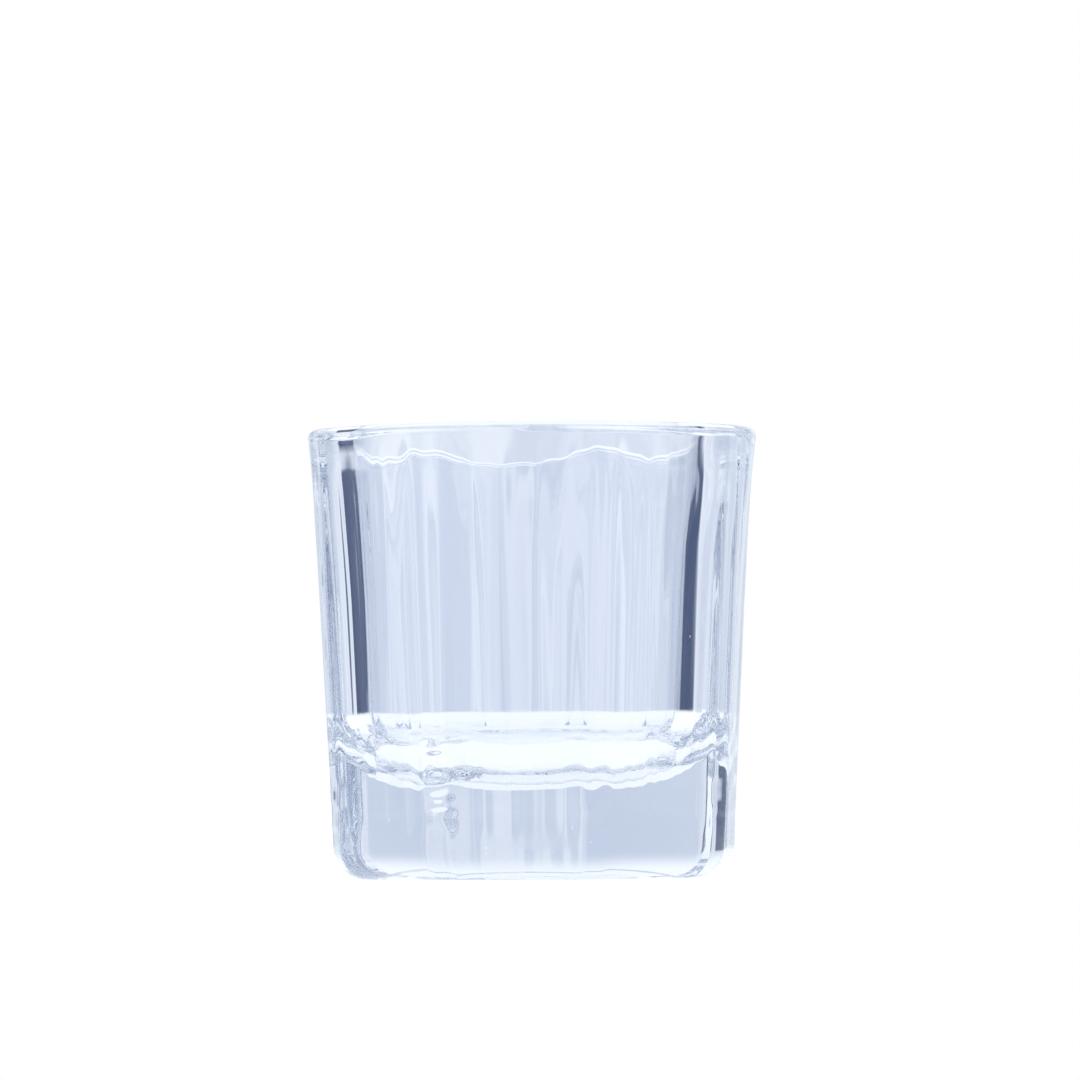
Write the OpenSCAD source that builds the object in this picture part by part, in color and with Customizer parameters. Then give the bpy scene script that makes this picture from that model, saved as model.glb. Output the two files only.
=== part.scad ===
// Dappen dish: a small pressed-glass cup for mixing nail liquid and powder.
// It is one piece of glass: eight leaning flats outside that fade out just under the lip, a
// deep round cavity with a bowl-shaped floor, and a thick solid base. Millimetres, +Z up,
// origin at the middle of the face that it stands on.

/* [Overall] */
// Outside diameter of the round lip
rim_d = 30.1; // [29:0.1:34]
// Height from the table to the top of the lip
height = 29.9; // [28:0.1:34]

/* [Outside] */
// Diameter of the round outline at the table, before its edge is rounded
foot_d = 27.3; // [26:0.1:28.5]
// Number of flats around the outside
flats = 8; // [6:1:10]
// How deep the middle of a flat lies inside the round outline
flat_cut = 0.75; // [0.4:0.05:0.9]
// Height where the flats start to fade towards the lip
fade_z = 19; // [17:0.5:24]
// Height of the round band between the top of the flats and the top of the lip
round_band = 0.8; // [0.7:0.1:2]
// Height of the upright part of the outline at the lip, with its rounded edge
collar_h = 1.7; // [1:0.1:2.5]
// Radius of the rounded edge around the base
foot_round = 2; // [1.5:0.1:2.6]

/* [Lip] */
// Radius of the lip's outer edge
lip_outer_r = 0.5; // [0.4:0.1:0.6]
// Radius of the lip's inner edge
lip_inner_r = 0.5; // [0.3:0.1:0.8]

/* [Cavity] */
// Inside diameter at the lip
mouth_d = 23.8; // [22:0.1:24.4]
// Inside diameter of the cavity's widest ring, just below the lip
throat_d = 23.9; // [23.4:0.1:25]
// Height of the widest ring
throat_z = 26; // [23:0.5:27]
// Inside diameter where the wall meets the bowl-shaped floor
bowl_d = 22.2; // [20.5:0.1:23.4]
// Height where the bowl-shaped floor starts
bowl_z = 11.7; // [10:0.1:13]
// Thickness of the solid glass under the middle of the bowl
base_t = 6.1; // [5:0.1:8]
// Roundness of the bowl, where 2 is an ellipse and more is flatter in the middle
bowl_power = 2.3; // [2:0.1:3]

/* [Hidden] */
$fn = 96;
glass = [0.82, 0.89, 0.97, 0.45];
arc_steps = 8;
bowl_steps = 18;
far = 60;
rim_r = rim_d / 2;
foot_r = foot_d / 2;
mouth_r = mouth_d / 2;
throat_r = throat_d / 2;
bowl_r = bowl_d / 2;
collar_z = height - collar_h;
flat_top_z = height - round_band;
// The outline leans out by this angle between the foot and the collar
lean = atan((rim_r - foot_r) / collar_z);
// Distance from the axis to the middle of a flat, at the table and where it starts to fade
flat_foot = foot_r - flat_cut;
flat_fade = flat_foot + fade_z * tan(lean);
fade_lean = atan((rim_r - flat_fade) / (flat_top_z - fade_z));

// Points of an arc about (cr, cz), from angle a0 to a1
function arc(cr, cz, r, a0, a1) =
    [for (i = [0:arc_steps]) let (a = a0 + (a1 - a0) * i / arc_steps)
        [cr + r * cos(a), cz + r * sin(a)]];

// Half of the outline that the flats are cut into
function outline() = concat(
    [[0, 0]],
    arc(foot_r - foot_round, foot_round, foot_round, -90, -lean),
    [[rim_r, collar_z]],
    arc(rim_r - lip_outer_r, height - lip_outer_r, lip_outer_r, 0, 90),
    [[0, height]]);

// Half of the cavity's bowl, from the middle of its floor out to the wall
function bowl() = [for (i = [0:bowl_steps]) let (a = 90 * i / bowl_steps)
    [bowl_r * pow(sin(a), 2 / bowl_power),
     bowl_z - (bowl_z - base_t) * pow(cos(a), 2 / bowl_power)]];

// Half of the whole cavity, with the lip's inner rounding at its mouth
function cavity() = concat(
    bowl(),
    [[throat_r, throat_z]],
    arc(mouth_r + lip_inner_r, height - lip_inner_r, lip_inner_r, 180, 90),
    [[mouth_r + lip_inner_r, height + 1], [0, height + 1]]);

// Everything outside a plane that passes r from the axis at height z and leans out
module beyond(r, z, angle) {
    translate([r, 0, z])
        rotate([0, angle, 0])
            translate([0, -far, -far])
                cube([far, 2 * far, 2 * far]);
}

// What one flat takes off: all beyond a leaning plane and a steeper one that it fades out on
module flat_tool() {
    intersection() {
        beyond(flat_foot, 0, lean);
        beyond(flat_fade, fade_z, fade_lean);
    }
}

module glass_dish() {
    color(glass)
        difference() {
            rotate_extrude() polygon(outline());
            rotate_extrude() polygon(cavity());
            for (i = [0:flats - 1])
                rotate([0, 0, -90 + i * 360 / flats]) flat_tool();
        }
}

glass_dish();
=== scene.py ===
"""Looks of a pressed-glass dappen dish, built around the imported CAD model. Metres, +Z up."""
import math

import bpy
import numpy as np
from mathutils import Matrix, Vector


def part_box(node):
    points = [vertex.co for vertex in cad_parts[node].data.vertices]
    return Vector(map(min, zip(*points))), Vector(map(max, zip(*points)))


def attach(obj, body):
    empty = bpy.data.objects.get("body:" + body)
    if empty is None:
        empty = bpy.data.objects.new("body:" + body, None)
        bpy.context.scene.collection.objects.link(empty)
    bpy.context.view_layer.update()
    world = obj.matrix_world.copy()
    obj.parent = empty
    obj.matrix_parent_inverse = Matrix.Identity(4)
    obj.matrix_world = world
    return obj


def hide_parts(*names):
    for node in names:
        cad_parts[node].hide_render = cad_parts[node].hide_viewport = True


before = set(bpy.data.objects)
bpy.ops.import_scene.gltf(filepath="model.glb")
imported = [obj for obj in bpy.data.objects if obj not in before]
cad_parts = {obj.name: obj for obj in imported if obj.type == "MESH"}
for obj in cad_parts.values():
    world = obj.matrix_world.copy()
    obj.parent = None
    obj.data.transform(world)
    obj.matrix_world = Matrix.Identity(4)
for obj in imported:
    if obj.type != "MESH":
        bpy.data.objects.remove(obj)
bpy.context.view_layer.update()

MM = 0.001
dish_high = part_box("glass_dish")[1]
HEIGHT = dish_high.z / MM

# ---------------------------------------------------------------- the dish's shape, in millimetres
# The outside: a cone that leans out, with flats that are cut into it and fade towards the lip
FOOT_R = 13.64
RIM_R = 15.12
COLLAR_Z = 29.4
FLATS = 8
FLAT_CUT = 0.75
# How much of a flat's depth is left at each height: (height, share)
FLAT_FADE = ((18.5, 1.0), (21.5, 0.9), (25.0, 0.68), (29.4, 0.28))
EDGE_SOFT = 0.10
FOOT_ROUND = 2.2

# The lip and the cavity under it; the wall and the shift are given as (height, value)
LIP_OUTER_R = 0.5
LIP_INNER_R = 0.4
LIP_EDGE_R = 11.9
BOWL_R = 11.1
BOWL_Z = 11.7
BASE_T = 6.1
BOWL_POWER = 2.3
INNER_WALL = ((BOWL_Z, BOWL_R), (22.0, 11.6), (25.0, 11.85), (27.0, 11.95), (29.4, LIP_EDGE_R))
PLUNGER_SHIFT = ((BASE_T, 0.35), (22.0, 0.35), (25.0, 0.25), (29.9, 0.2))

# Waves left by the press: (size, cells around, cell height, seed)
OUTER_WAVES = ((0.026, 90, 60.0, 1), (0.014, 190, 30.0, 2), (0.025, 24, 16.0, 3))
INNER_WAVES = ((0.035, 40, 45.0, 4), (0.020, 97, 25.0, 5), (0.008, 200, 18.0, 6), (0.03, 14, 10.0, 7))
BOWL_WAVES = ((0.05, 11, 3.0, 8), (0.025, 34, 1.4, 9), (0.006, 70, 0.8, 10))
# The waves die out over these heights above the base's rounding and below the lip
CALM_ABOVE_FOOT = 2
CALM_BELOW_LIP = 3
INNER_CALM_FROM = 4
INNER_CALM_TO = 0.5
# The bowl is rough towards -X and calm towards +X: limits for the cosine of the angle, and the least share
BOWL_ROUGH_END = -0.2
BOWL_CALM_START = 0.9
BOWL_LEAST = 0.25

# Rough strips that the mould leaves down the base's corners: (angle in degrees, strength), half width,
# the height where they end, how far below it they start to fade, and their waves
CORNER_STRIPS = ((-157.5, 0.35), (-111.5, 1.7), (-67.5, 0.25), (-22.5, 0.3))
STRIP_HALF = 0.95
STRIP_TOP = 9.6
STRIP_FADE = 1.0
STRIP_WAVES = ((0.10, 84, 0.9, 12), (0.08, 84, 0.45, 13), (0.07, 84, 6.0, 15))

# Air bubbles in the glass: every third one is in the wall, the others are in the base.
# The rings are angles up a bubble, in radians.
SEEDS = 36
SEED_NUMBERS = 11
SEED_MIDDLE_R = 0.0385
SEED_SPREAD_R = 0.0315
SEED_STRETCH = 1.6
SEED_SIDES = 10
SEED_RINGS = (-1.45, -1.0, -0.5, 0.0, 0.5, 1.0, 1.45)
BASE_SEEDS_R = 11.0
BASE_SEEDS_LOW = 1.2
BASE_SEEDS_SPREAD = 1.7
WALL_SEEDS_Z = 18.0
WALL_SEEDS_SPREAD = 9.0
WALL_SEEDS_DEPTH = 0.25

# How fine the mesh is
AROUND = 420
FOOT_RINGS = 12
FOOT_ARC_RINGS = 14
BASE_RINGS = 36
WALL_RINGS = 34
LIP_RINGS = 10
TOP_RINGS = 4
INNER_LIP_RINGS = 14
INNER_RINGS = 60
BOWL_RINGS = 44

# ---------------------------------------------------------------- the glass
GLASS_TINT = (0.919, 0.933, 0.974, 1)
GLASS_IOR = 1.52
GLASS_ABSORBS = (0.0, 0.16, 0.42, 1)
GLASS_DENSITY = 6.5
BOUNCES = 64

# ---------------------------------------------------------------- camera, millimetres and degrees
CAMERA_DISTANCE = 560.0
CAMERA_HEIGHT = 5.9
CAMERA_SIDE = 0.47
CAMERA_LENS = 280.0
CAMERA_SENSOR = 36.0
CAMERA_TURN = 5.5
CAMERA_PITCH = 1.705
CAMERA_ROLL = -0.4

# ---------------------------------------------------------------- studio
ROOM_COLOUR = (0.90, 0.95, 1.02, 1)
SHADE_COLOUR = (0.68, 0.75, 0.87, 1)
TENT_COLOUR = (1.14, 1.18, 1.19, 1)
FRONT_COLOUR = (0.65, 0.72, 0.82, 1)
SIDE_COLOUR = (1.25, 1.28, 1.30, 1)
DARK_COLOUR = (0.02, 0.05, 0.15, 1)
# Stretches of the room in degrees, where azimuth 0 is straight behind the dish and + is to the right:
# each fades in between its first two limits and out between its last two
LEFT_SHADE_AZIMUTH = (-34.0, -26.0, -12.0, -4.0)
RIGHT_SHADE_AZIMUTH = (18.0, 24.0, 38.0, 46.0)
LEVEL_ELEVATION = (-17.0, -8.0, 8.0, 32.0)
LEFT_DARK_AZIMUTH = (-72.0, -62.0, -45.0, -40.0)
LEFT_DARK_ELEVATION = (-18.0, -12.0, 9.5, 14.0)
RIGHT_DARK_AZIMUTH = (58.0, 65.0, 77.0, 86.0)
RIGHT_DARK_ELEVATION = (-18.0, -12.0, 12.0, 19.0)
# The bright sides and the camera's side are the same left and right
SIDE_AZIMUTH = (74.0, 84.0, 140.0, 155.0)
FRONT_STARTS = 148.0
FRONT_FULL = 164.0
# The room is a little uneven: patches per degree, their detail, their contrast and the two shares
PATCH_SCALE = 0.22
PATCH_DETAIL = 3.0
PATCH_LOW = 0.30
PATCH_HIGH = 0.70
PATCH_SHARE = 0.9
SHADE_SHARE = 0.75

FLOOR_SIDES = 96
FLOOR_R = 110.0
FLOOR_FADE_R = 45.0
FLOOR_CLEAR_R = 106.7
FLOOR_GAP = 0.02


def smooth_step(low, high, x):
    """0 below low, 1 above high, smooth between."""
    t = np.clip((x - low) / (high - low), 0, 1)
    return t * t * (3 - 2 * t)


def soft_min(a, b, width):
    """The smaller of a and b, with the corner between them rounded over about width."""
    h = np.clip(0.5 + 0.5 * (b - a) / width, 0, 1)
    return b * (1 - h) + a * h - width * h * (1 - h)


def outline_radius(theta, z):
    """Distance from the axis to the outside at angle theta and height z: a cone with eight flats."""
    cone = FOOT_R + (RIM_R - FOOT_R) * np.clip(z / COLLAR_Z, 0, 1)
    step = 2 * math.pi / FLATS
    from_middle = (theta + math.pi / 2 + step / 2) % step - step / 2
    cut = cone - soft_min(cone, (cone - FLAT_CUT) / np.cos(from_middle), EDGE_SOFT)
    fade = np.interp(z, [v[0] for v in FLAT_FADE], [v[1] for v in FLAT_FADE])
    return cone - cut * fade


def inner_radius(z):
    """Radius of the cavity's wall at height z."""
    return np.interp(z, [v[0] for v in INNER_WALL], [v[1] for v in INNER_WALL])


def cavity_shift(z):
    """How far the cavity's axis has wandered from the outside's at height z, along -X."""
    return np.interp(z, [v[0] for v in PLUNGER_SHIFT], [v[1] for v in PLUNGER_SHIFT])


def lattice(i, j, seed):
    """A repeatable random number from -1 to 1 for each cell of a grid."""
    mixed = np.sin(i * 127.1 + j * 311.7 + seed * 74.7) * 43758.5453
    return 2 * (mixed - np.floor(mixed)) - 1


def waves(theta, z, around, rise, seed):
    """Smooth random waves from -1 to 1, with this many cells around the dish, each `rise` mm tall."""
    u = theta / (2 * math.pi) * around
    v = z / rise
    i, j = np.floor(u), np.floor(v)
    fu, fv = u - i, v - j
    fu, fv = fu * fu * (3 - 2 * fu), fv * fv * (3 - 2 * fv)
    i = i % around
    k = (i + 1) % around
    low = lattice(i, j, seed) * (1 - fu) + lattice(k, j, seed) * fu
    high = lattice(i, j + 1, seed) * (1 - fu) + lattice(k, j + 1, seed) * fu
    return low * (1 - fv) + high * fv


def drawn(theta, z, layers):
    """The sum of several layers of waves."""
    return sum(size * waves(theta, z, around, rise, seed) for size, around, rise, seed in layers)


def outside_rings(theta):
    """The rings of the outside as (radii, heights): out along the foot, up the flats and over the lip."""
    flat = np.ones_like(theta)
    out = []
    foot = outline_radius(theta, 0 * theta)
    for t in np.linspace(1 / FOOT_RINGS, 1, FOOT_RINGS, endpoint=False):
        out.append(((foot - FOOT_ROUND) * t, 0 * flat))
    for a in np.linspace(-math.pi / 2, 0, FOOT_ARC_RINGS, endpoint=False):
        z = FOOT_ROUND * (1 + math.sin(a))
        out.append((outline_radius(theta, z * flat) - FOOT_ROUND * (1 - math.cos(a)), z * flat))
    top = HEIGHT - LIP_OUTER_R
    base_heights = np.linspace(FOOT_ROUND, STRIP_TOP, BASE_RINGS, endpoint=False)
    wall_heights = np.linspace(STRIP_TOP, top, WALL_RINGS, endpoint=False)
    for z in (*base_heights, *wall_heights):
        clear_of_foot = smooth_step(FOOT_ROUND, FOOT_ROUND + CALM_ABOVE_FOOT, z)
        calm = clear_of_foot * (1 - smooth_step(top - CALM_BELOW_LIP, top, z))
        uneven = calm * (drawn(theta, z, OUTER_WAVES) + corner_strips(theta, z))
        out.append((outline_radius(theta, z * flat) + uneven, z * flat))
    rim = outline_radius(theta, top * flat)
    for a in np.linspace(0, math.pi / 2, LIP_RINGS, endpoint=False):
        out.append((rim - LIP_OUTER_R * (1 - math.cos(a)), (top + LIP_OUTER_R * math.sin(a)) * flat))
    shoulder = LIP_EDGE_R + LIP_INNER_R
    for t in np.linspace(0, 1, TOP_RINGS, endpoint=False):
        out.append(((rim - LIP_OUTER_R) * (1 - t) + shoulder * t, HEIGHT * flat))
    for a in np.linspace(math.pi / 2, math.pi, INNER_LIP_RINGS, endpoint=False):
        out.append(((shoulder + LIP_INNER_R * math.cos(a)) * flat,
                    (HEIGHT - LIP_INNER_R * (1 - math.sin(a))) * flat))
    return out


def cavity_rings(theta):
    """The rings of the cavity as (radii, heights): down its wall and in along the bowl."""
    flat = np.ones_like(theta)
    out = []
    brim = HEIGHT - LIP_INNER_R
    for z in np.linspace(brim, BOWL_Z, INNER_RINGS, endpoint=False):
        calm = 1 - smooth_step(brim - INNER_CALM_FROM, brim - INNER_CALM_TO, z)
        out.append((inner_radius(z) + calm * drawn(theta, z, INNER_WAVES), z * flat))
    for a in np.linspace(math.pi / 2, 0, BOWL_RINGS, endpoint=False):
        radius = BOWL_R * math.sin(a) ** (2 / BOWL_POWER)
        depth = BOWL_Z - (BOWL_Z - BASE_T) * math.cos(a) ** (2 / BOWL_POWER)
        near_wall = math.sin(a) ** 4
        rough = BOWL_LEAST + 1 - smooth_step(BOWL_ROUGH_END, BOWL_CALM_START, np.cos(theta))
        ripple = drawn(theta, radius, BOWL_WAVES) * rough * math.sin(2 * a)
        out.append((radius + near_wall * drawn(theta, BOWL_Z, INNER_WAVES), depth + ripple))
    return out


def add_seeds(points, faces):
    """Tiny air bubbles inside the glass, most of them in the base, stretched a little upwards."""
    for n in range(SEEDS):
        turn = math.pi * lattice(n, 1, SEED_NUMBERS)
        size = SEED_MIDDLE_R + SEED_SPREAD_R * lattice(n, 2, SEED_NUMBERS)
        outwards = lattice(n, 3, SEED_NUMBERS)
        upwards = lattice(n, 4, SEED_NUMBERS)
        if n % 3:
            out = BASE_SEEDS_R * math.sqrt(0.5 + 0.5 * outwards)
            up = BASE_SEEDS_LOW + BASE_SEEDS_SPREAD * (1 + upwards)
        else:
            up = WALL_SEEDS_Z + WALL_SEEDS_SPREAD * upwards
            out = 0.5 * (inner_radius(up) + FOOT_R) + WALL_SEEDS_DEPTH * outwards
        start = len(points)
        for a in SEED_RINGS:
            for b in range(SEED_SIDES):
                spin = 2 * math.pi * b / SEED_SIDES
                points.append((out * math.cos(turn) + size * math.cos(a) * math.cos(spin),
                               out * math.sin(turn) + size * math.cos(a) * math.sin(spin),
                               up + SEED_STRETCH * size * math.sin(a)))
        # The faces look inwards, at the air
        for i in range(len(SEED_RINGS) - 1):
            for b in range(SEED_SIDES):
                c = (b + 1) % SEED_SIDES
                low = start + i * SEED_SIDES
                high = low + SEED_SIDES
                faces.append((low + c, low + b, high + b, high + c))
        top = start + (len(SEED_RINGS) - 1) * SEED_SIDES
        faces.append(tuple(start + b for b in range(SEED_SIDES)))
        faces.append(tuple(top + b for b in reversed(range(SEED_SIDES))))


def corner_strips(theta, z):
    """Rough strips down the corners between the flats, only along the base."""
    reach = 0 * theta
    for angle, strength in CORNER_STRIPS:
        away = (theta - math.radians(angle) + math.pi) % (2 * math.pi) - math.pi
        reach = reach + strength * np.exp(-(away * FOOT_R / STRIP_HALF) ** 4)
    fade = 1 - smooth_step(STRIP_TOP - STRIP_FADE, STRIP_TOP, z)
    return reach * fade * drawn(theta, z, STRIP_WAVES)


def make_dish():
    """The glass as a smooth mesh: rings with a point at each end of the axis, and the air bubbles in it."""
    theta = np.linspace(0, 2 * math.pi, AROUND, endpoint=False)
    points = [(0.0, 0.0, 0.0)]
    for radii, heights in outside_rings(theta):
        points.extend(zip(radii * np.cos(theta), radii * np.sin(theta), heights))
    for radii, heights in cavity_rings(theta):
        shift = cavity_shift(heights)
        points.extend(zip(radii * np.cos(theta) - shift, radii * np.sin(theta), heights))
    ring_count = (len(points) - 1) // AROUND
    points.append((-float(cavity_shift(BASE_T)), 0.0, BASE_T))
    last = len(points) - 1
    faces = []
    for j in range(AROUND):
        k = (j + 1) % AROUND
        faces.append((0, 1 + k, 1 + j))
        for i in range(ring_count - 1):
            a = 1 + i * AROUND
            b = a + AROUND
            faces.append((a + j, a + k, b + k, b + j))
        top = 1 + (ring_count - 1) * AROUND
        faces.append((top + j, top + k, last))
    add_seeds(points, faces)
    mesh = bpy.data.meshes.new("glass_dish_fine")
    mesh.from_pydata((np.array(points) * MM).tolist(), [], faces)
    mesh.polygons.foreach_set("use_smooth", [True] * len(mesh.polygons))
    mesh.update()
    dish = bpy.data.objects.new("glass_dish_fine", mesh)
    bpy.context.scene.collection.objects.link(dish)
    return dish


def glass_material():
    """Clear pressed glass, faintly blue."""
    mat = bpy.data.materials.new("clear_glass")
    mat.use_nodes = True
    nodes, links = mat.node_tree.nodes, mat.node_tree.links
    shader = nodes["Principled BSDF"]
    shader.inputs["Base Color"].default_value = GLASS_TINT
    shader.inputs["Roughness"].default_value = 0.0
    shader.inputs["IOR"].default_value = GLASS_IOR
    shader.inputs["Transmission Weight"].default_value = 1.0
    inside = nodes.new("ShaderNodeVolumeAbsorption")
    inside.inputs["Color"].default_value = GLASS_ABSORBS
    inside.inputs["Density"].default_value = GLASS_DENSITY
    links.new(inside.outputs["Volume"], nodes["Material Output"].inputs["Volume"])
    return mat


def make_floor():
    """A white sheet under the dish, as bright as the room below it, that melts into the white around it."""
    bpy.ops.mesh.primitive_circle_add(vertices=FLOOR_SIDES, radius=FLOOR_R * MM, fill_type="NGON",
                                      location=(0, 0, -FLOOR_GAP * MM))
    floor = bpy.context.object
    floor.name = "floor"
    mat = bpy.data.materials.new("white_floor")
    mat.use_nodes = True
    nodes, links = mat.node_tree.nodes, mat.node_tree.links
    sheet = nodes["Principled BSDF"]
    sheet.inputs["Base Color"].default_value = (0, 0, 0, 1)
    sheet.inputs["Roughness"].default_value = 1.0
    sheet.inputs["Specular IOR Level"].default_value = 0.0
    sheet.inputs["Emission Color"].default_value = TENT_COLOUR
    sheet.inputs["Emission Strength"].default_value = 1.0
    from_middle = nodes.new("ShaderNodeVectorMath")
    from_middle.operation = "LENGTH"
    links.new(nodes.new("ShaderNodeTexCoord").outputs["Object"], from_middle.inputs[0])
    fade = nodes.new("ShaderNodeMapRange")
    fade.interpolation_type = "SMOOTHSTEP"
    fade.inputs["From Min"].default_value = FLOOR_FADE_R * MM
    fade.inputs["From Max"].default_value = FLOOR_CLEAR_R * MM
    links.new(from_middle.outputs["Value"], fade.inputs["Value"])
    mix = nodes.new("ShaderNodeMixShader")
    links.new(fade.outputs[0], mix.inputs[0])
    links.new(sheet.outputs[0], mix.inputs[1])
    links.new(nodes.new("ShaderNodeBsdfTransparent").outputs[0], mix.inputs[2])
    links.new(mix.outputs[0], nodes["Material Output"].inputs["Surface"])
    floor.data.materials.append(mat)
    return floor


def make_world():
    """White for the camera; for the glass, a bright room with a dark stretch on each side."""
    world = bpy.data.worlds.new("studio")
    bpy.context.scene.world = world
    world.use_nodes = True
    tree = world.node_tree
    tree.nodes.clear()

    def node(kind, **settings):
        made = tree.nodes.new("ShaderNode" + kind)
        for name, value in settings.items():
            setattr(made, name, value)
        return made

    def feed(target, index, value):
        if isinstance(value, (int, float, tuple)):
            target.inputs[index].default_value = value
        else:
            tree.links.new(value, target.inputs[index])

    def math_node(operation, *values):
        made = node("Math", operation=operation)
        for i, value in enumerate(values):
            feed(made, i, value)
        return made.outputs[0]

    def ramp(value, low, high):
        """0 below low, 1 above high, smooth between."""
        made = node("MapRange", interpolation_type="SMOOTHSTEP")
        feed(made, 0, value)
        feed(made, 1, low)
        feed(made, 2, high)
        return made.outputs[0]

    def blend(amount, first, second):
        made = node("Mix", data_type="RGBA")
        feed(made, 0, amount)
        feed(made, 6, first)
        feed(made, 7, second)
        return made.outputs[2]

    def band(value, limits):
        """1 between the two middle limits, fading to 0 at the two outer ones."""
        rise = ramp(value, limits[0], limits[1])
        fall = math_node("SUBTRACT", 1.0, ramp(value, limits[2], limits[3]))
        return math_node("MULTIPLY", rise, fall)

    turned = node("Mapping", vector_type="POINT")
    tree.links.new(node("TexCoord").outputs["Generated"], turned.inputs["Vector"])
    turned.inputs["Rotation"].default_value = (0, 0, -math.radians(CAMERA_TURN))
    split = node("SeparateXYZ")
    tree.links.new(turned.outputs[0], split.inputs[0])
    x, y, z = split.outputs
    degrees = 180 / math.pi
    azimuth = math_node("MULTIPLY", math_node("ARCTAN2", x, y), degrees)
    elevation = math_node("MULTIPLY", math_node("ARCSINE", z), degrees)
    left = math_node("MULTIPLY", band(azimuth, LEFT_DARK_AZIMUTH), band(elevation, LEFT_DARK_ELEVATION))
    right = math_node("MULTIPLY", band(azimuth, RIGHT_DARK_AZIMUTH), band(elevation, RIGHT_DARK_ELEVATION))
    shade = math_node("MAXIMUM", band(azimuth, LEFT_SHADE_AZIMUTH), band(azimuth, RIGHT_SHADE_AZIMUTH))
    uneven = node("TexNoise", noise_dimensions="1D")
    feed(uneven, 1, azimuth)
    feed(uneven, 2, PATCH_SCALE)
    feed(uneven, 3, PATCH_DETAIL)
    patches = math_node("MULTIPLY", ramp(uneven.outputs[0], PATCH_LOW, PATCH_HIGH), PATCH_SHARE)
    shaded = math_node("ADD", math_node("MULTIPLY", shade, SHADE_SHARE), patches)
    room = blend(shaded, ROOM_COLOUR, SHADE_COLOUR)
    away_from_back = math_node("ABSOLUTE", azimuth)
    room = blend(band(away_from_back, SIDE_AZIMUTH), room, SIDE_COLOUR)
    room = blend(ramp(away_from_back, FRONT_STARTS, FRONT_FULL), room, FRONT_COLOUR)
    room = blend(band(elevation, LEVEL_ELEVATION), TENT_COLOUR, room)
    room = blend(math_node("MAXIMUM", left, right), room, DARK_COLOUR)
    room_light = node("Background")
    tree.links.new(room, room_light.inputs["Color"])
    seen = node("Background")
    seen.inputs["Color"].default_value = (1, 1, 1, 1)
    mix = node("MixShader")
    tree.links.new(node("LightPath").outputs["Is Camera Ray"], mix.inputs[0])
    tree.links.new(room_light.outputs[0], mix.inputs[1])
    tree.links.new(seen.outputs[0], mix.inputs[2])
    tree.links.new(mix.outputs[0], node("OutputWorld").inputs["Surface"])


def make_camera():
    """A long lens almost level with the dish's base, looking slightly up."""
    data = bpy.data.cameras.new("camera")
    cam = bpy.data.objects.new("camera", data)
    bpy.context.scene.collection.objects.link(cam)
    bpy.context.scene.camera = cam
    turn = math.radians(CAMERA_TURN)
    pitch = math.radians(CAMERA_PITCH)
    data.sensor_width = CAMERA_SENSOR
    data.lens = CAMERA_LENS
    right = Vector((math.cos(turn), math.sin(turn), 0))
    forward = Vector((-math.sin(turn), math.cos(turn), 0))
    eye = right * CAMERA_SIDE - forward * CAMERA_DISTANCE + Vector((0, 0, CAMERA_HEIGHT))
    cam.location = eye * MM
    look = (forward * math.cos(pitch) + Vector((0, 0, math.sin(pitch)))).to_track_quat("-Z", "Y")
    roll = Matrix.Rotation(math.radians(CAMERA_ROLL), 3, "Z").to_quaternion()
    cam.rotation_mode = "QUATERNION"
    cam.rotation_quaternion = look @ roll
    data.clip_start = 0.01
    data.clip_end = 20.0


make_camera()
make_world()
make_floor()
dish = make_dish()
dish.data.materials.append(glass_material())
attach(dish, "root")
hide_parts("glass_dish")

scene = bpy.context.scene
scene.view_settings.view_transform = "Standard"
scene.cycles.max_bounces = BOUNCES
scene.cycles.transmission_bounces = BOUNCES
scene.cycles.glossy_bounces = BOUNCES
